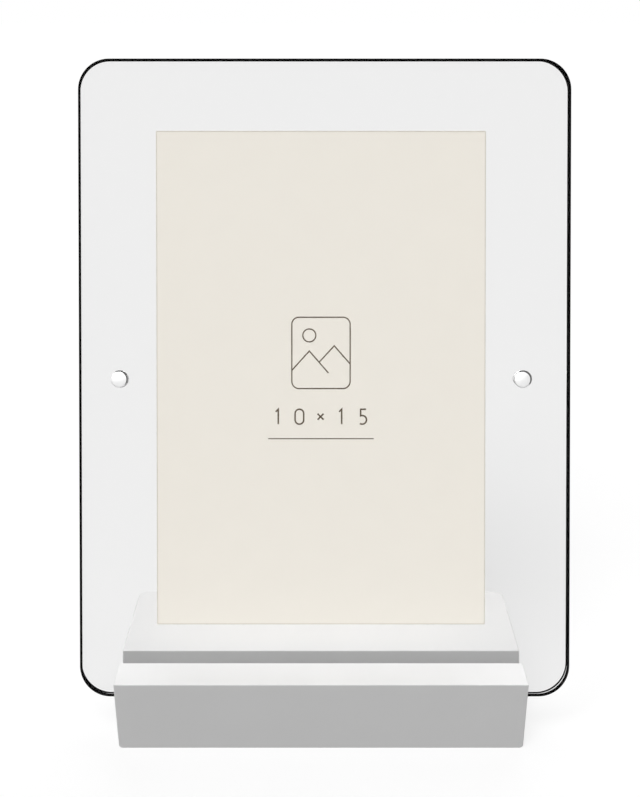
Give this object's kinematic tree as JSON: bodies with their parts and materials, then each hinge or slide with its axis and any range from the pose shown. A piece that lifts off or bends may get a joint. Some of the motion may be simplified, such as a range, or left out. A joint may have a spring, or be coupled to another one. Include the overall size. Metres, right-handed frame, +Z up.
{
  "type": "acrylic photo block",
  "caption": "Free-standing photo display: clear acrylic sheets held together by disc magnets clamp a portrait photo card and lean back in a slanted slot across a white block.",
  "frame": {"origin": "centre of the block's flat underside, which stands on the table", "axes": "+Z up, +X to the viewer's right along the block, +Y away from the viewer, so the front faces -Y and the sheets lean back towards +Y"},
  "size_m": [0.151, 0.0843, 0.1961],
  "materials": {
    "block": "satin",
    "clear_acrylic": "polished",
    "card_paper": "matte",
    "magnet_plating": "polished"
  },
  "bodies": {
    "base": {"base": "block"},
    "rear_panel": {"rear_sheet": "clear_acrylic", "rear_magnet_left": "magnet_plating", "rear_magnet_right": "magnet_plating"},
    "front_panel": {"front_sheet": "clear_acrylic", "front_magnet_left": "magnet_plating", "front_magnet_right": "magnet_plating"},
    "card": {"photo_card": "card_paper"}
  },
  "joints": [
    {"name": "pair_lift", "type": "slide", "parent": "base", "child": "rear_panel", "axis": [0, 0.3665, 0.9304], "range_m": [0, 0.05]},
    {"name": "front_sheet_off", "type": "slide", "parent": "rear_panel", "child": "front_panel", "axis": [0, 0.3665, 0.9304], "range_m": [0, 0.21]},
    {"name": "card_out", "type": "slide", "parent": "rear_panel", "child": "card", "axis": [0, 0.3665, 0.9304], "range_m": [0, 0.18]}
  ]
}
